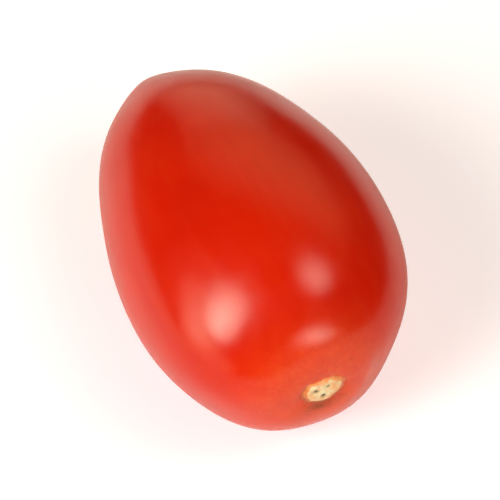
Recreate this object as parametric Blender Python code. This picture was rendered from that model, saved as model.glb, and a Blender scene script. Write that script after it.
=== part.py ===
"""A plum-shaped tomato as one closed solid, lying on its side on a small flat spot.

Units are metres and +Z is up. The fruit's long axis runs along X, with the
stem end at +X and the blossom end at -X. The origin is the middle of the spot
that the fruit rests on.
"""

import math

import bmesh
import bpy
import numpy as np
from mathutils import Matrix, Vector

# Sizes of the plain ellipsoid that the fruit departs from
LENGTH = 0.0744
WIDTH = 0.0484
HEIGHT = 0.0463

# The profile is fuller towards the stem end, slimmer towards the blossom end,
# and its axis bows a little to one side
EVEN_TAPER = 0.156
END_TAPER = 0.091
BOW = 0.0016
TIP_OFFSET = 0.0005

# The blossom end is blunter than that profile: this share is added to its radius
END_FULLNESS = 0.11
END_FULL_START = 0.30

# Stem end: a shallow basin with an oval corky scar just off the middle of it
BASIN_DEPTH = 0.0018
BASIN_RADIUS = 0.0090
SCAR_RADIUS = 0.0034
SCAR_SLIMNESS = 0.80
SCAR_TURN = math.radians(-5.0)
SCAR_Y = 0.00065
SCAR_Z = -0.00040
SCAR_RISE = 0.00035
RIM_GROOVE_DEPTH = 0.00030
RIM_GROOVE_WIDTH = 0.00055
PIT_DEPTH = 0.00030
PIT_RADIUS = 0.00050
# The pits in the scar: distance from its middle in metres, and turn in degrees
PIT_PLACES = ((0.0015, 155.0), (0.0011, 36.0), (0.00125, 258.0))

# The basin's edge: a low ridge and a crease outside it, on one shoulder only
RIDGE_RISE = 0.00015
RIDGE_RADIUS = 0.0094
CREASE_DEPTH = 0.00035
CREASE_RADIUS = 0.0114
CREASE_WIDTH = 0.0013
CREASE_ANGLE = math.radians(-8.0)
CREASE_SPREAD = math.radians(42.0)

# Blossom end: a small point with one shallow valley running up to it
TIP_LENGTH = 0.0005
TIP_RADIUS = 0.0022
VALLEY_DEPTH = 0.00035
VALLEY_ANGLE = math.radians(125.0)
VALLEY_WIDTH = math.radians(13.0)

# Above that point the end is drawn out a little, into a blunt corner
CORNER_RISE = 0.0008
CORNER_RADIUS = 0.0050
CORNER_MIDDLE = Vector((-0.0354, -0.0018, 0.0056))
CORNER_WAY = Vector((-0.857, -0.198, 0.476))

# Three faint lobes, one for each seed chamber, and finer ribs between them.
# Both rise on the shoulders and fade out by the middle of the fruit
LOBES = 3
LOBE_RELIEF = 0.034
LOBE_ANGLE = math.radians(34.0)
RIBS = 5
RIB_RELIEF = 0.020
RIB_ANGLE = math.radians(10.0)
SHOULDER_START = 0.2
SHOULDER_END = 0.85

# The turn that brings the fruit to rest, and the flat it rests on
REST_PITCH = math.radians(-4.0)
REST_ROLL = math.radians(6.0)
FLAT_RISE = 0.00050
MERGE_DISTANCE = 0.00001

# Mesh: rings crowd together towards both ends, where the detail is
SEGMENTS = 60
RINGS = 48
END_CROWDING = 0.65

SKIN_COLOUR = (0.63, 0.012, 0.001, 1.0)
SKIN_ROUGHNESS = 0.30


def smooth_step(value, low, high):
    t = min(max((value - low) / (high - low), 0.0), 1.0)
    return t * t * (3.0 - 2.0 * t)


def angle_between(a, b):
    return math.remainder(a - b, 2.0 * math.pi)


def crowded(theta):
    """Moves an evenly spaced polar angle towards the nearer end."""
    return theta - 0.5 * END_CROWDING * math.sin(2.0 * theta)


def scar_relief(y, z):
    """Height of the corky scar, its rim groove and its pits over the basin."""
    y -= SCAR_Y
    z -= SCAR_Z
    lengthwise = y * math.cos(SCAR_TURN) + z * math.sin(SCAR_TURN)
    crosswise = z * math.cos(SCAR_TURN) - y * math.sin(SCAR_TURN)
    distance = math.hypot(lengthwise, crosswise / SCAR_SLIMNESS)
    height = SCAR_RISE * (1.0 - smooth_step(distance, 0.8 * SCAR_RADIUS, 1.05 * SCAR_RADIUS))
    groove = (distance - 1.15 * SCAR_RADIUS) / RIM_GROOVE_WIDTH
    height -= RIM_GROOVE_DEPTH * math.exp(-groove * groove)
    for reach, turn in PIT_PLACES:
        away = math.hypot(y - reach * math.cos(math.radians(turn)), z - reach * math.sin(math.radians(turn)))
        height -= PIT_DEPTH * math.exp(-((away / PIT_RADIUS) ** 2))
    return height


def basin_edge(y, z):
    """Height of the ridge and the crease where the basin meets one shoulder."""
    distance = math.hypot(y, z)
    ridge = (distance - RIDGE_RADIUS) / CREASE_WIDTH
    crease = (distance - CREASE_RADIUS) / CREASE_WIDTH
    round_it = angle_between(math.atan2(z, y), CREASE_ANGLE) / CREASE_SPREAD
    height = RIDGE_RISE * math.exp(-ridge * ridge) - CREASE_DEPTH * math.exp(-crease * crease)
    return height * math.exp(-round_it * round_it)


def fruit_point(theta, phi):
    """Skin point: theta runs from the stem end to the blossom end, phi round the axis."""
    along = math.cos(theta)
    spread = math.sin(theta) * (1.0 + EVEN_TAPER * along + END_TAPER * along**3)
    spread *= 1.0 + END_FULLNESS * smooth_step(-along, END_FULL_START, 1.0)
    relief = LOBE_RELIEF * math.cos(LOBES * (phi - LOBE_ANGLE))
    relief += RIB_RELIEF * math.cos(RIBS * (phi - RIB_ANGLE))
    spread *= 1.0 + relief * smooth_step(along, SHOULDER_START, SHOULDER_END)
    near_tip = smooth_step(-along, 0.45, 0.85)
    across = angle_between(phi, VALLEY_ANGLE) / VALLEY_WIDTH
    dip = VALLEY_DEPTH * near_tip * math.exp(-across * across) * math.sin(theta)

    y = (0.5 * WIDTH * spread - dip) * math.cos(phi)
    z = (0.5 * HEIGHT * spread - dip) * math.sin(phi)
    x = 0.5 * LENGTH * along
    distance = math.hypot(y, z)
    if along > 0.0:
        x -= BASIN_DEPTH * math.exp(-((distance / BASIN_RADIUS) ** 2))
        x += scar_relief(y, z) + basin_edge(y, z)
    else:
        x -= TIP_LENGTH * math.exp(-((distance / TIP_RADIUS) ** 2))
    y += BOW * (1.0 - along * along) + TIP_OFFSET * max(-along, 0.0) ** 3
    point = Vector((x, y, z))
    from_corner = (point - CORNER_MIDDLE).length / CORNER_RADIUS
    return point + CORNER_RISE * math.exp(-from_corner * from_corner) * CORNER_WAY


def volume_and_centroid(mesh):
    """Volume and centroid of the closed mesh, from the tetrahedra under its triangles."""
    volume = 0.0
    moment = Vector((0.0, 0.0, 0.0))
    for a, b, c in mesh.calc_loop_triangles():
        piece = a.vert.co.dot(b.vert.co.cross(c.vert.co)) / 6.0
        volume += piece
        moment += piece * (a.vert.co + b.vert.co + c.vert.co) / 4.0
    return volume, moment / volume


def clear_scene():
    for old in list(bpy.data.objects):
        bpy.data.objects.remove(old, do_unlink=True)


def skin_material():
    material = bpy.data.materials.new("tomato_skin")
    material.use_nodes = True
    shader = material.node_tree.nodes["Principled BSDF"]
    shader.inputs["Base Color"].default_value = SKIN_COLOUR
    shader.inputs["Roughness"].default_value = SKIN_ROUGHNESS
    shader.inputs["Metallic"].default_value = 0.0
    return material


def grow_fruit():
    """Starts from a ball and moves each of its points to the fruit's skin."""
    ball = bmesh.new()
    bmesh.ops.create_uvsphere(ball, u_segments=SEGMENTS, v_segments=RINGS, radius=1.0)
    for vert in ball.verts:
        theta = crowded(math.acos(max(-1.0, min(1.0, vert.co.z))))
        phi = math.atan2(vert.co.y, vert.co.x)
        vert.co = fruit_point(theta, phi)
    return ball


def lay_down(fruit):
    """Turns the fruit to its resting attitude and cuts the flat spot under its weight."""
    turn = Matrix.Rotation(REST_ROLL, 4, "X") @ Matrix.Rotation(REST_PITCH, 4, "Y")
    bmesh.ops.transform(fruit, matrix=turn, verts=fruit.verts)
    floor = min(vert.co.z for vert in fruit.verts) + FLAT_RISE
    cut = bmesh.ops.bisect_plane(
        fruit,
        geom=list(fruit.verts) + list(fruit.edges) + list(fruit.faces),
        dist=MERGE_DISTANCE,
        plane_co=(0.0, 0.0, floor),
        plane_no=(0.0, 0.0, 1.0),
        clear_inner=True,
    )
    rim = [piece for piece in cut["geom_cut"] if isinstance(piece, bmesh.types.BMEdge)]
    bmesh.ops.contextual_create(fruit, geom=rim)
    corners = np.array([vert.co[:2] for edge in rim for vert in edge.verts])
    low, high = corners.min(axis=0), corners.max(axis=0)
    middle = 0.5 * (low + high)
    bmesh.ops.translate(fruit, verts=fruit.verts, vec=(-middle[0], -middle[1], -floor))
    print("flat spot, mm:", np.round(1000.0 * (high - low), 1), "corners:", len(rim))
    volume, centroid = volume_and_centroid(fruit)
    print("volume, cm3:", round(volume * 1e6, 2))
    print("centroid, mm:", [round(1000.0 * c, 2) for c in centroid])


clear_scene()
collection = bpy.data.collections.new("tomato")
bpy.context.scene.collection.children.link(collection)

fruit = grow_fruit()
lay_down(fruit)
mesh = bpy.data.meshes.new("tomato")
fruit.to_mesh(mesh)
fruit.free()
for polygon in mesh.polygons:
    polygon.use_smooth = True
mesh.materials.append(skin_material())
collection.objects.link(bpy.data.objects.new("tomato", mesh))
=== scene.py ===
# %% [markdown]
# # A ripe plum tomato, lying on its side
#
# A plum tomato is an egg-shaped berry. Its stem end is broad and a little hollow,
# with a corky scar where the stalk came away, and its blossom end is slimmer.
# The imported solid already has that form. This lesson takes a copy of it, makes
# its surface smooth, carves the fine relief of the scar, and then gives it a
# waxy red skin, a floor, lights and a camera.

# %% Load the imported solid
import math

import bmesh
import bpy
from mathutils import Matrix, Vector, noise
from mathutils.bvhtree import BVHTree


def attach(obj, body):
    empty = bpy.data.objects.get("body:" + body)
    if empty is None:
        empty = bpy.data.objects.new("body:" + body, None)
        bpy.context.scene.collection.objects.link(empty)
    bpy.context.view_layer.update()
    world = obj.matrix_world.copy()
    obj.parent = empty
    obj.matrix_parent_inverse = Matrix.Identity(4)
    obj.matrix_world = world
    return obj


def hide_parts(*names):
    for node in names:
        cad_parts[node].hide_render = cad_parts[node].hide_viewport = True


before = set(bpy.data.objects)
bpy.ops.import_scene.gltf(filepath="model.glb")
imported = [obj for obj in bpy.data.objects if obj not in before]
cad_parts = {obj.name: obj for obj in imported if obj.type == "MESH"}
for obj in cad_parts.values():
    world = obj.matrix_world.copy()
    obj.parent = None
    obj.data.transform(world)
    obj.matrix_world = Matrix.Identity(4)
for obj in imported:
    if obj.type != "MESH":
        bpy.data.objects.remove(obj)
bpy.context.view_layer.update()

MM = 0.001
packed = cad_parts["tomato"]

# %% [markdown]
# ## From loose triangles to one sheet
#
# The solid arrives as loose triangles.
# A smooth skin could be sculpted from nothing, but then it might no longer fit
# the solid. So a copy of the solid is merged into one sheet, and its triangles
# are paired back into four-sided faces. Four sides matter, because the smoothing
# that comes next leaves faint dents round triangles.

# %% Merge a copy of the solid
MERGE_DISTANCE = 0.001 * MM
# Two triangles are paired where they fold and skew by less than these
MOST_FOLD = math.radians(40.0)
MOST_SKEW = math.radians(60.0)

sheet = bmesh.new()
sheet.from_mesh(packed.data)
bmesh.ops.remove_doubles(sheet, verts=sheet.verts, dist=MERGE_DISTANCE)
bmesh.ops.join_triangles(
    sheet,
    faces=sheet.faces,
    angle_face_threshold=MOST_FOLD,
    angle_shape_threshold=MOST_SKEW,
)
for layer in list(sheet.loops.layers.uv.values()):
    sheet.loops.layers.uv.remove(layer)
quads = sum(len(face.verts) == 4 for face in sheet.faces)
print("faces:", len(sheet.faces), "of them quads:", quads)

# %% Find the two ends
# The mesh runs together to a pole at each end, where the most edges meet
crowded = sorted(sheet.verts, key=lambda vert: -len(vert.link_edges))[:2]
stem_end, blossom_end = sorted((vert.co.copy() for vert in crowded), key=lambda co: -co.x)
print("stem end, mm:", [round(c / MM, 1) for c in stem_end])
print("blossom end, mm:", [round(c / MM, 1) for c in blossom_end])

# %% [markdown]
# ## A taut, rounded skin
#
# The flesh swells under the skin and pulls it taut, so the real surface has no
# flats. More rings in the solid could give that too, but they would make the
# checked part heavy. A Subdivision Surface rounds the copy alone, and it is
# applied here, because the carving needs its finer points.

# %% Round the skin
SMOOTHING_LEVELS = 2

coarse_mesh = bpy.data.meshes.new("tomato_coarse")
sheet.to_mesh(coarse_mesh)
sheet.free()
tomato = bpy.data.objects.new("tomato_fruit", coarse_mesh)
bpy.context.scene.collection.objects.link(tomato)
rounding = tomato.modifiers.new("Rounding", "SUBSURF")
rounding.levels = SMOOTHING_LEVELS
rounding.render_levels = SMOOTHING_LEVELS
graph = bpy.context.evaluated_depsgraph_get()
skin_mesh = bpy.data.meshes.new_from_object(tomato.evaluated_get(graph))
skin_mesh.name = "tomato_fruit"
tomato.modifiers.clear()
tomato.data = skin_mesh
print("rounded faces:", len(skin_mesh.polygons))

# %% [markdown]
# ## The fruit's own axes
#
# The fruit rests a little tipped and rolled, so its ends don't face along the
# scene's axes. The relief and the colours at an end run in rings round the
# fruit's own axis. Each point is therefore measured from the pole of its end:
# how far from the axis it is, and at what turn round it.

# %% Measure a point from one end
# The two turns that the fruit was laid down with
REST_PITCH = math.radians(-4.0)
REST_ROLL = math.radians(6.0)
LYING = (Matrix.Rotation(REST_ROLL, 4, "X") @ Matrix.Rotation(REST_PITCH, 4, "Y")).to_3x3()
STANDING = LYING.inverted()
AXIS = LYING @ Vector((1.0, 0.0, 0.0))


def from_axis(point, pole):
    """Distance from the fruit's axis, turn round it, and the point in the fruit's axes."""
    local = STANDING @ (point - pole)
    return math.hypot(local.y, local.z), math.atan2(local.z, local.y), local


def step(value, low, high):
    """0 below low, 1 above high, and an even rise between them."""
    t = min(max((value - low) / (high - low), 0.0), 1.0)
    return t * t * (3.0 - 2.0 * t)


def hump(value, middle, width):
    """1 at the middle, and a soft fall on both sides."""
    return math.exp(-(((value - middle) / width) ** 2))


print("axis:", [round(c, 3) for c in AXIS])

# %% [markdown]
# ## The stem scar
#
# Where the stalk came away, the fruit seals the wound with dry cork. The cork is
# a ragged oval that stands a little proud, with a lip, a few cracks and the
# pits where the vessels ran. A bump map alone would look flat from the side, so
# the relief is a height that moves the points of the mesh. The same function
# gives masks between 0 and 1, which the material reads later, so that colour
# and relief always meet.

# %% Outline of the scar
SCAR_HALF_LENGTH = 3.25 * MM
SCAR_SLIMNESS = 0.78
SCAR_TURN = math.radians(-5.0)
SCAR_MIDDLE = Vector((0.0, 0.65, -0.40)) * MM
# Waves in the outline: their count round the scar, their depth, and their turn
EDGE_WAVES = ((3.0, 0.05, 0.4), (5.0, 0.035, 2.0), (9.0, 0.025, 0.0), (14.0, 0.02, 1.0))


def scar_edge(turn):
    """Radius of the cork's ragged oval outline."""
    along = math.cos(turn - SCAR_TURN)
    across = math.sin(turn - SCAR_TURN) / SCAR_SLIMNESS
    wave = sum(depth * math.sin(count * turn + shift) for count, depth, shift in EDGE_WAVES)
    return SCAR_HALF_LENGTH * (1.0 + wave) / math.hypot(along, across)


scar_length = 2.0 * SCAR_HALF_LENGTH
print("scar, mm:", round(scar_length / MM, 1), "x", round(scar_length * SCAR_SLIMNESS / MM, 1))

# %% Pits and cracks in the cork
# Each pit: distance from the scar's middle, turn in degrees, and how dark it is
PITS = ((1.5 * MM, 155.0, 0.75), (1.1 * MM, 36.0, 0.55), (1.25 * MM, 258.0, 1.0))
PIT_RADIUS = 0.42 * MM
RAGGEDNESS = 0.25 * MM
RAG_SPACING = 0.7 * MM
# The cracks' turns in degrees. They open between two shares of the way out
CRACKS = (15.0, 112.0, 171.0, 214.0, 331.0)
CRACK_START = (0.45, 0.7)
CRACK_WIDTH = 0.09 * MM
# How dark the cracks are painted with the pits' colour: painted shade in the cracks
PAINTED_CRACK_SHADE = 0.25


def pit_mask(local):
    """The darkness of the nearest pit in its middle, and 0 away from the pits."""
    ragged = noise.noise(local / RAG_SPACING) * RAGGEDNESS
    deepest = 0.0
    for away, angle, darkness in PITS:
        y = away * math.cos(math.radians(angle))
        z = away * math.sin(math.radians(angle))
        from_pit = math.hypot(local.y - y, local.z - z) + ragged
        deepest = max(deepest, darkness * hump(from_pit, 0.0, PIT_RADIUS))
    return deepest


def crack_mask(distance, turn, reach):
    """1 in the middle of a crack, and 0 away from the cracks and at the scar's middle."""
    off = min(abs(math.remainder(turn - math.radians(angle), math.tau)) for angle in CRACKS)
    return hump(off * distance, 0.0, CRACK_WIDTH) * step(reach, *CRACK_START)


print("pits:", len(PITS), "cracks:", len(CRACKS))

# %% Rings round the cork
# Places and widths are shares of the way from the scar's middle to its outline.
# A thin ring of pale colour softens the cork's edge. It is strongest above the scar, where it is painted
# light over the shade in the groove round the cork
CORK_EDGE = (0.90, 1.02)
RING_PLACE = 1.02
RING_WIDTH = 0.16
# Below the scar the ring loses this share, so its painted light lies above
RING_LOSS_BELOW = 0.7
# Brown skin runs round the ring, broader and darker below the scar
RIM_PLACE = 1.08
RIM_WIDTH = 0.18
RIM_GROWTH_BELOW = 0.12
RIM_LEAST = 0.15
# Straight below, but turned this far towards -Y
BELOW_TURN = math.radians(20.0)
# One brown stain lies lower still
STAIN_MIDDLE = Vector((0.0, -0.8, -3.8)) * MM
STAIN_HALF_LENGTH = 3.1 * MM
STAIN_HALF_WIDTH = 1.7 * MM


def rings(local, turn, reach):
    """Masks of the pale cork edge with its painted light above the scar, and of the brown rim with its
    stain.
    """
    below = 0.5 - 0.5 * math.sin(turn + BELOW_TURN)
    # The ring is painted light over the groove's shade, strongest above the scar
    ring = hump(reach, RING_PLACE, RING_WIDTH) * (1.0 - RING_LOSS_BELOW * below)
    rim = hump(reach, RIM_PLACE, RIM_WIDTH + RIM_GROWTH_BELOW * below)
    rim *= RIM_LEAST + (1.0 - RIM_LEAST) * below
    off = local - STAIN_MIDDLE
    stain = hump(math.hypot(off.y / STAIN_HALF_LENGTH, off.z / STAIN_HALF_WIDTH), 0.0, 1.0)
    return ring, max(rim, stain)


print("stain, mm:", round(2.0 * STAIN_HALF_LENGTH / MM, 1), "x", round(2.0 * STAIN_HALF_WIDTH / MM, 1))

# %% Relief of the scar
LIP_PLACE = 0.93
LIP_WIDTH = 0.10
LIP_HEIGHT = 0.12 * MM
PIT_DEPTH = 0.25 * MM
CRACK_DEPTH = 0.10 * MM
# The grain is fractal noise: its spacing, how fast its finer parts weaken, how
# much finer each is than the last, and how many there are
GRAIN_HEIGHT = 0.06 * MM
GRAIN_SPACING = 0.55 * MM
GRAIN_WEAKENING = 0.8
GRAIN_REFINING = 2.2
GRAIN_PARTS = 3


def scar(local):
    """Cork, pit, ring and rim masks, and the height of the relief, at one point. The pit mask also paints
    shade in the cracks, and the ring paints light above the scar.
    """
    local = local - SCAR_MIDDLE
    distance = math.hypot(local.y, local.z)
    turn = math.atan2(local.z, local.y)
    reach = distance / scar_edge(turn)
    cork = 1.0 - step(reach, *CORK_EDGE)
    pit = pit_mask(local)
    crack = crack_mask(distance, turn, reach)
    grain = noise.fractal(local / GRAIN_SPACING, GRAIN_WEAKENING, GRAIN_REFINING, GRAIN_PARTS)
    height = cork * (GRAIN_HEIGHT * grain - PIT_DEPTH * pit - CRACK_DEPTH * crack)
    height += LIP_HEIGHT * hump(reach, LIP_PLACE, LIP_WIDTH)
    ring, rim = rings(local, turn, reach)
    # The pit mask also takes the cracks, as painted shade in them
    return cork, max(pit, PAINTED_CRACK_SHADE * crack) * cork, ring, rim, height


print("lip, mm:", round(LIP_HEIGHT / MM, 2), "pits, mm:", round(PIT_DEPTH / MM, 2))

# %% [markdown]
# ## Wrinkles, blossom point and slow waves
#
# The skin round the scar is drawn into faint wrinkles. The flower's remains
# leave a dry brown point at the other end, in a slight pucker. In between, a
# grown skin is never an exact curve: slow waves bend its highlights. All of it
# could be painted, but only moved points also bend the outline and the light.

# %% Wrinkles round the scar
# They rise and fade between these distances from the axis
WRINKLE_RISE = (3.6 * MM, 4.2 * MM)
WRINKLE_FADE = (5.0 * MM, 9.0 * MM)
WRINKLE_TURNS = 7.7
WRINKLE_HEIGHT = 0.035 * MM


def wrinkles(distance, turn):
    """Height of the fine folds that run out from the scar."""
    fade = step(distance, *WRINKLE_RISE) * (1.0 - step(distance, *WRINKLE_FADE))
    around = Vector((math.cos(turn), math.sin(turn), 0.0))
    return WRINKLE_HEIGHT * fade * noise.noise(around * WRINKLE_TURNS)


print("wrinkles, mm:", round(WRINKLE_HEIGHT / MM, 3), "high")

# %% Blossom point and slow waves
POINT_HEIGHT = 0.10 * MM
POINT_RADIUS = 0.6 * MM
POINT_STAIN = 0.75 * MM
PUCKER_HEIGHT = 0.04 * MM
PUCKER_FOLDS = 5.0
PUCKER_PLACE = 2.0 * MM
PUCKER_WIDTH = 1.2 * MM
# The waves are longer along the fruit. They rise between two heights over the
# floor, so that the flat spot stays flat
WAVE_HEIGHT = 0.06 * MM
WAVE_SIZE = 11.0 * MM
WAVE_SQUEEZE = 0.45
WAVE_RISE = (0.5 * MM, 6.0 * MM)


def blossom_point(away, around):
    """Height of the dry point and of the pucker round it."""
    pucker = math.cos(PUCKER_FOLDS * around) * hump(away, PUCKER_PLACE, PUCKER_WIDTH)
    return POINT_HEIGHT * hump(away, 0.0, POINT_RADIUS) + PUCKER_HEIGHT * pucker


def slow_wave(co):
    """Height of the skin's waves."""
    squeezed = Vector((WAVE_SQUEEZE * co.x, co.y, co.z))
    return WAVE_HEIGHT * step(co.z, *WAVE_RISE) * noise.noise(squeezed / WAVE_SIZE)


print("waves, mm:", round(WAVE_HEIGHT / MM, 2), "high")

# %% Where each end's relief stops
# Depths run along the axis from the pole, and radii away from the axis
HALO_DEPTH = 15.0 * MM
HALO_FADE = (3.5 * MM, 18.0 * MM)
SCAR_ZONE_DEPTH = 6.0 * MM
SCAR_ZONE_RADIUS = 9.0 * MM
TIP_ZONE_DEPTH = 8.0 * MM
TIP_ZONE_RADIUS = 6.0 * MM
MASKS = ("cork", "pit", "ring", "rim", "halo", "tip")
print("masks to write:", ", ".join(MASKS))

# %% Carve the skin
carved = bmesh.new()
carved.from_mesh(skin_mesh)
carved.normal_update()
layers = {name: carved.verts.layers.float.new(name) for name in MASKS}
for vert in carved.verts:
    shift = vert.normal * slow_wave(vert.co)
    distance, turn, local = from_axis(vert.co, stem_end)
    if local.x > -HALO_DEPTH:
        vert[layers["halo"]] = 1.0 - step(distance, *HALO_FADE)
    if local.x > -SCAR_ZONE_DEPTH and distance < SCAR_ZONE_RADIUS:
        cork, pit, ring, rim, height = scar(local)
        vert[layers["cork"]] = cork
        vert[layers["pit"]] = pit
        vert[layers["ring"]] = ring
        vert[layers["rim"]] = rim
        shift += AXIS * (height + wrinkles(distance, turn))
    away, around, beyond = from_axis(vert.co, blossom_end)
    if beyond.x < TIP_ZONE_DEPTH and away < TIP_ZONE_RADIUS:
        vert[layers["tip"]] = hump(away, 0.0, POINT_STAIN)
        shift -= AXIS * blossom_point(away, around)
    vert.co += shift
for face in carved.faces:
    face.smooth = True
carved.to_mesh(skin_mesh)
print("points carved:", len(carved.verts))

# %% Measure how far the skin lies from the solid
solid = bmesh.new()
solid.from_mesh(packed.data)
packed_surface = BVHTree.FromBMesh(solid)
gaps = [packed_surface.find_nearest(vert.co)[3] for vert in carved.verts]
solid.free()
carved.free()
print("off the solid, mm: most", round(max(gaps) / MM, 2), "mean", round(sum(gaps) / len(gaps) / MM, 3))

# %% [markdown]
# ## Colours and nodes
#
# Colours are easiest to note as sRGB hex values, but a shader works with linear
# light. One function turns the one into the other. A second one adds any node,
# with its settings and whatever feeds its inputs, so that each material below
# reads as a list of what it is made of.

# %% Helpers for materials


def linear(hex_colour):
    """sRGB hex, such as "#D01C03", as linear red, green, blue and alpha."""
    parts = [int(hex_colour[i : i + 2], 16) / 255.0 for i in (1, 3, 5)]
    light = [c / 12.92 if c <= 0.04045 else ((c + 0.055) / 1.055) ** 2.4 for c in parts]
    return (*light, 1.0)


def add_node(tree, kind, inputs=None, **settings):
    """Adds a node. Each input is a number, a hex colour or another node's output."""
    node = tree.nodes.new(kind)
    for name, value in settings.items():
        setattr(node, name, value)
    for socket, value in (inputs or {}).items():
        if isinstance(value, bpy.types.NodeSocket):
            tree.links.new(value, node.inputs[socket])
        elif isinstance(value, str):
            node.inputs[socket].default_value = linear(value)
        else:
            node.inputs[socket].default_value = value
    return node


print("ripe red, linear:", [round(c, 3) for c in linear("#D01C03")])

# %% [markdown]
# ## The skin: a waxy cuticle over ripe flesh
#
# Ripe tomato skin is a clear cuticle of wax over cells full of red pigment. Its
# colour could be one flat red, but the eye would take it for plastic. So it is
# built up in thin coats, as a painter would: deeper in slow patches, streaked
# along the fruit, more orange with tiny flecks round the stem, and brown where
# it dries. The same material turns to cork on the scar, by the masks that the
# carving wrote, so that no seam shows between them.

# %% Masks from the carving
# For each mask, the value that counts as none of it and the one that counts as all
MASK_EDGES = {
    "cork": (0.30, 0.70),
    "pit": (0.10, 0.62),
    "ring": (0.0, 1.0),
    "rim": (0.0, 1.0),
    "halo": (0.0, 0.95),
    "tip": (0.35, 0.80),
}

skin = bpy.data.materials.new("waxy_ripe_tomato_skin")
skin.use_nodes = True
tree = skin.node_tree
tree.nodes.clear()
masks = {}
for name, (none, full) in MASK_EDGES.items():
    written = add_node(tree, "ShaderNodeAttribute", attribute_name=name).outputs["Fac"]
    masks[name] = add_node(tree, "ShaderNodeMapRange", {0: written, 1: none, 2: full}).outputs[0]
print("masks:", ", ".join(masks))

# %% Patterns
# Lumps and flecks follow the object's own coordinates, and streaks are lumps
# drawn out along the fruit. Each has the texture's kind, its output and its place
STREAK_SQUEEZE = (0.06, 1.0, 1.0)

place = add_node(tree, "ShaderNodeTexCoord").outputs["Object"]
squeezed = add_node(tree, "ShaderNodeMapping", {"Vector": place, "Scale": STREAK_SQUEEZE})
PATTERNS = {
    "lumps": ("ShaderNodeTexNoise", "Fac", place),
    "streaks": ("ShaderNodeTexNoise", "Fac", squeezed.outputs["Vector"]),
    "flecks": ("ShaderNodeTexVoronoi", "Distance", place),
}
print("patterns:", ", ".join(PATTERNS))

# %% Coats of colour
# Each coat: what it is, its colour, its strength and its mask. Then its pattern:
# the kind, the spacing in mm, the values that count as none and as all of it, and
# the least of the coat that is left. Real flecks are about 0.1 mm across. They
# are drawn 0.2 to 0.4 mm across, because finer ones wouldn't show
BASE_RED = "#D01C03"
COATS = (
    ("brighter patches", "#D72103", 1.00, None, ("lumps", 18.0, 0.35, 0.65, 0.0)),
    ("fine streaks", "#E8481A", 0.08, None, ("streaks", 2.2, 0.40, 0.72, 0.0)),
    ("orange shoulder", "#F55414", 0.75, "halo", ("lumps", 5.0, 0.25, 0.75, 0.55)),
    ("fine grain", "#F26C2C", 0.16, "halo", ("lumps", 0.9, 0.45, 0.70, 0.0)),
    ("pale flecks", "#F6AE74", 0.14, "halo", ("flecks", 0.95, 0.16, 0.06, 0.0)),
    ("dark flecks", "#A01808", 0.38, "halo", ("flecks", 2.2, 0.14, 0.055, 0.0)),
    ("brown rim", "#8E3800", 1.00, "rim", ("lumps", 0.9, 0.30, 0.70, 0.6)),
    # The ring's pale colour is painted light over the shade in the groove round the cork
    ("pale ring and painted light", "#FFB868", 0.85, "ring", ("lumps", 1.2, 0.25, 0.60, 0.5)),
    ("cork", "#F2B57C", 1.00, "cork", None),
    ("pale cork", "#F3E2B2", 1.00, "cork", ("lumps", 1.8, 0.35, 0.65, 0.0)),
    ("knots in the cork", "#D0A468", 0.40, "cork", ("lumps", 0.7, 0.60, 0.80, 0.0)),
    # The pit mask holds the cracks too, so this coat also paints shade in them
    ("pits", "#66684A", 1.00, "pit", None),
    ("blossom point", "#6B3A1C", 0.85, "tip", None),
)

colour = BASE_RED
for what, tint, strength, mask, pattern in COATS:
    amount = strength
    if mask:
        masked = add_node(tree, "ShaderNodeMath", {0: masks[mask], 1: strength}, operation="MULTIPLY")
        amount = masked.outputs[0]
    if pattern:
        kind, spacing, none, full, least = pattern
        texture, output, where = PATTERNS[kind]
        drawn = add_node(tree, texture, {"Vector": where, "Scale": 1.0 / (spacing * MM)}).outputs[output]
        share = add_node(
            tree,
            "ShaderNodeMapRange",
            {0: drawn, 1: none, 2: full, 3: least, 4: 1.0},
            interpolation_type="SMOOTHSTEP",
        ).outputs[0]
        amount = add_node(tree, "ShaderNodeMath", {0: amount, 1: share}, operation="MULTIPLY").outputs[0]
    colour = add_node(tree, "ShaderNodeMix", {0: amount, 6: colour, 7: tint}, data_type="RGBA").outputs[2]
    print("coat:", what, tint)

# %% [markdown]
# ## Gloss and grain
#
# The wax gives a soft highlight, not a mirror, at an IOR of about 1.5. It is a
# little uneven. It is duller where the skin is brown and dry, and gone on the cork.
# Fine pebbles in the skin and the grain of the cork are far smaller than a
# pixel of relief, so here a bump map is enough.

# %% Roughness
GLOSS_SPACING = 4.4 * MM
GLOSS_EDGES = (0.3, 0.7)
SKIN_ROUGHNESS = (0.19, 0.26)
DRY_ROUGHNESS = (("rim", 0.45), ("cork", 0.85))

gloss = add_node(tree, "ShaderNodeTexNoise", {"Vector": place, "Scale": 1.0 / GLOSS_SPACING})
low, high = GLOSS_EDGES
smoothest, dullest = SKIN_ROUGHNESS
roughness = add_node(
    tree,
    "ShaderNodeMapRange",
    {0: gloss.outputs["Fac"], 1: low, 2: high, 3: smoothest, 4: dullest},
    interpolation_type="SMOOTHSTEP",
).outputs[0]
for name, dry in DRY_ROUGHNESS:
    drier = add_node(tree, "ShaderNodeMix", {0: masks[name], 2: roughness, 3: dry}, data_type="FLOAT")
    roughness = drier.outputs[0]
print("roughness of the skin:", SKIN_ROUGHNESS)

# %% Bump
PEBBLE_SPACING = 1.0 * MM
PEBBLE_SHARE = 0.25
CORK_SPACING = 0.44 * MM
BUMP_DEPTH = 0.06 * MM
BUMP_STRENGTH = 0.35

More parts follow.
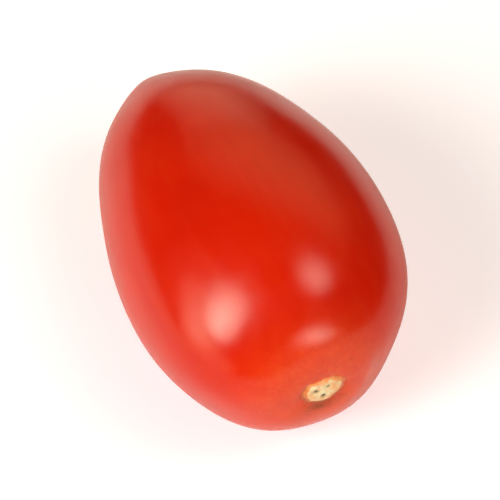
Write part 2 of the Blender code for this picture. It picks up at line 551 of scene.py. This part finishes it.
pebbles = add_node(tree, "ShaderNodeTexNoise", {"Vector": place, "Scale": 1.0 / PEBBLE_SPACING})
low_pebbles = add_node(
    tree, "ShaderNodeMath", {0: pebbles.outputs["Fac"], 1: PEBBLE_SHARE}, operation="MULTIPLY"
)
cork_grain = add_node(tree, "ShaderNodeTexNoise", {"Vector": place, "Scale": 1.0 / CORK_SPACING})
height = add_node(
    tree,
    "ShaderNodeMix",
    {0: masks["cork"], 2: low_pebbles.outputs[0], 3: cork_grain.outputs["Fac"]},
    data_type="FLOAT",
).outputs[0]
bump = add_node(
    tree, "ShaderNodeBump", {"Strength": BUMP_STRENGTH, "Distance": BUMP_DEPTH, "Height": height}
)
print("bump, mm:", round(BUMP_DEPTH / MM, 2))

# %% [markdown]
# ## Light inside the skin
#
# Ripe flesh isn't opaque. Light enters it, spreads a few millimetres and comes
# back red, which keeps the shaded side warm. Red goes furthest and blue hardly
# at all. Dry cork lets almost none through.

# %% The finished skin
FLESH_SHARE = 0.45
CORK_SHARE = 0.05
RED_REACH = 4.0 * MM
# Shares of that reach for red, green and blue
REACH_SHARES = (1.0, 0.12, 0.03)
WAX_IOR = 1.5
WAX_TINT = "#FFF6E0"

inside = add_node(tree, "ShaderNodeMapRange", {0: masks["cork"], 3: FLESH_SHARE, 4: CORK_SHARE}).outputs[0]
shader = add_node(
    tree,
    "ShaderNodeBsdfPrincipled",
    {
        "Base Color": colour,
        "Roughness": roughness,
        "Normal": bump.outputs["Normal"],
        "IOR": WAX_IOR,
        "Specular Tint": WAX_TINT,
        "Metallic": 0.0,
        "Subsurface Weight": inside,
        "Subsurface Radius": REACH_SHARES,
        "Subsurface Scale": RED_REACH,
    },
)
add_node(tree, "ShaderNodeOutputMaterial", {"Surface": shader.outputs["BSDF"]})
skin_mesh.materials.clear()
skin_mesh.materials.append(skin)
print("nodes in the skin:", len(tree.nodes))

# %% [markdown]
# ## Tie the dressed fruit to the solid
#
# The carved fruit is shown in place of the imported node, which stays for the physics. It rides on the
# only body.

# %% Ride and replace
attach(tomato, "root")
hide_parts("tomato")
print("tied:", tomato.name)

# %% [markdown]
# ## The white board
#
# The fruit lies on a matt white board. A very large one could fill the view, but
# it would also throw its light up on the fruit from far around, so this one is
# small. It glows a little for the camera alone, so that it looks as white as
# the paper round it and adds nothing to the light on the fruit.

# %% Board
BOARD_RADIUS = 0.24
BOARD_CORNERS = 96
CAMERA_GLOW = 0.42

board_mesh = bpy.data.meshes.new("board")
disc = bmesh.new()
bmesh.ops.create_circle(disc, cap_ends=True, radius=BOARD_RADIUS, segments=BOARD_CORNERS)
disc.to_mesh(board_mesh)
disc.free()
board = bpy.data.objects.new("board", board_mesh)
bpy.context.scene.collection.objects.link(board)

card = bpy.data.materials.new("matt_white_board")
card.use_nodes = True
card.node_tree.nodes.clear()
to_camera = add_node(card.node_tree, "ShaderNodeLightPath").outputs["Is Camera Ray"]
glow = add_node(card.node_tree, "ShaderNodeMath", {0: to_camera, 1: CAMERA_GLOW}, operation="MULTIPLY")
matt = add_node(
    card.node_tree,
    "ShaderNodeBsdfPrincipled",
    {
        "Base Color": "#F8F5EF",
        "Roughness": 0.8,
        "Specular IOR Level": 0.2,
        "Emission Color": "#EAF0FA",
        "Emission Strength": glow.outputs[0],
    },
)
add_node(card.node_tree, "ShaderNodeOutputMaterial", {"Surface": matt.outputs["BSDF"]})
board_mesh.materials.append(card)
print("board, mm across:", round(2.0 * BOARD_RADIUS / MM))

# %% [markdown]
# ## Soft lamps
#
# A waxy skin mirrors its lamps, so their shapes and places matter as much as
# their strength. Each lamp is placed by its azimuth and elevation from the
# fruit, with its size in metres. A lamp behind cloth is brighter in its middle,
# so it is made of three nested lamps, and its highlight has no hard edge. The
# smaller ones hang nearer the fruit, or the wide one would hide them.

# %% Helpers for lamps
TARGET = Vector((-2.5, 0.0, 23.0)) * MM
# Watts for each square metre of a lamp of brightness 1
WATTS = 4.0
# The nested lamps' sizes, and the gap between them at a distance of 1
NEST = (("wide", 1.4), ("middle", 1.0), ("core", 0.6))
NEST_GAP = 0.01


def direction(azimuth, elevation):
    """Unit vector from the fruit: azimuth 0 is -Y and 90 is +X."""
    a, e = math.radians(azimuth), math.radians(elevation)
    return Vector((math.sin(a) * math.cos(e), -math.cos(a) * math.cos(e), math.sin(e)))


def soft_lamp(name, place, distance, size, brightness, roll=0.0, colour="#FFFFFF", shape="ELLIPSE"):
    """An area lamp that faces the fruit. Its power follows its size and brightness."""
    width, height = size
    lamp = bpy.data.lights.new(name, "AREA")
    lamp.shape = shape
    lamp.size = width
    lamp.size_y = height
    lamp.color = linear(colour)[:3]
    filled = math.pi / 4.0 if shape == "ELLIPSE" else 1.0
    lamp.energy = WATTS * filled * width * height * brightness
    item = bpy.data.objects.new(name, lamp)
    towards = direction(*place)
    item.location = TARGET + towards * distance
    facing = towards.to_track_quat("Z", "Y").to_matrix()
    item.rotation_euler = (facing @ Matrix.Rotation(math.radians(roll), 3, "Z")).to_euler()
    bpy.context.scene.collection.objects.link(item)
    print("lamp:", name, "watts:", round(lamp.energy, 2))
    return item


def soft_box(name, place, distance, size, brightness, **settings):
    """A lamp behind cloth: nested lamps that share its brightness, the smaller ones nearer."""
    for part, share in NEST:
        gap = NEST_GAP * distance / share
        nested = (size[0] * share, size[1] * share)
        soft_lamp(name + "_" + part, place, distance - gap, nested, brightness / len(NEST), **settings)


# %% Lamps in front and above
# Each has its azimuth and elevation, distance, size and brightness, and a roll
# where it hangs askew
soft_box("window", (17.0, 39.5), 1.0, (0.42, 0.40), 9.9)
soft_box("foot", (0.0, 20.0), 1.0, (0.52, 0.48), 2.9, roll=-20.0, colour="#FFF4E4")
soft_box("lamp_above", (138.0, 58.0), 1.0, (0.36, 0.47), 3.6, roll=19.0)
soft_box("lamp_low", (100.0, 12.5), 1.0, (0.52, 0.27), 5.1, roll=-37.0)

# %% Warm cards
# Cards throw warm light into the fruit's shaded sides and along its far edge
soft_lamp("card_front", (14.0, 3.0), 1.2, (1.30, 0.60), 1.2, colour="#FFE6C8")
soft_box("card_high", (-126.0, 40.0), 1.2, (1.70, 0.85), 0.90, colour="#FFCD98")
soft_box("card_back", (-105.0, 9.0), 0.28, (0.14, 0.10), 1.0, colour="#FFDDBA", shape="RECTANGLE")

# %% Fill from the right
# Light through tracing paper is too even to show as a highlight, so this fill
# is left out of what the skin mirrors
fill = soft_lamp("fill_right", (118.0, 46.0), 1.0, (0.60, 0.60), 1.35, colour="#FFE8D8")
fill.visible_glossy = False

# %% [markdown]
# ## The room
#
# A white sky would wash the red out, because the skin would mirror it all over.
# The room is therefore almost dark, and it is white only where the camera looks
# straight at it.

# %% Room
ROOM_LIGHT = 0.03

world = bpy.data.worlds.new("studio")
bpy.context.scene.world = world
world.use_nodes = True
room = world.node_tree
room.nodes.clear()
to_camera = add_node(room, "ShaderNodeLightPath").outputs["Is Camera Ray"]
dim = add_node(room, "ShaderNodeBackground", {"Color": "#FFDCB4", "Strength": ROOM_LIGHT})
paper = add_node(room, "ShaderNodeBackground", {"Color": "#FFFFFF", "Strength": 1.0})
both = add_node(room, "ShaderNodeMixShader", {0: to_camera, 1: dim.outputs[0], 2: paper.outputs[0]})
add_node(room, "ShaderNodeOutputWorld", {"Surface": both.outputs[0]})
print("nodes in the room:", len(room.nodes))

# %% [markdown]
# ## The camera
#
# The camera looks down at the stem end from the front right. A long lens at a
# fair distance keeps the egg shape true. The frame's width at the fruit sets
# the focal length.

# %% Camera
VIEW_AZIMUTH = 66.05
VIEW_ELEVATION = 55.0
CAMERA_DISTANCE = 0.70
FRAME_WIDTH = 86.6 * MM
SENSOR_WIDTH = 36.0
AIM = Vector((0.2, -0.3, 23.8)) * MM

lens = bpy.data.cameras.new("camera")
lens.sensor_width = SENSOR_WIDTH
lens.lens = SENSOR_WIDTH * CAMERA_DISTANCE / FRAME_WIDTH
camera = bpy.data.objects.new("camera", lens)
towards = direction(VIEW_AZIMUTH, VIEW_ELEVATION)
camera.location = AIM + towards * CAMERA_DISTANCE
camera.rotation_euler = towards.to_track_quat("Z", "Y").to_euler()
bpy.context.scene.collection.objects.link(camera)
bpy.context.scene.camera = camera
bpy.context.scene.view_settings.view_transform = "Standard"
bpy.context.scene.view_settings.look = "None"
print("lens, mm:", round(lens.lens, 1))
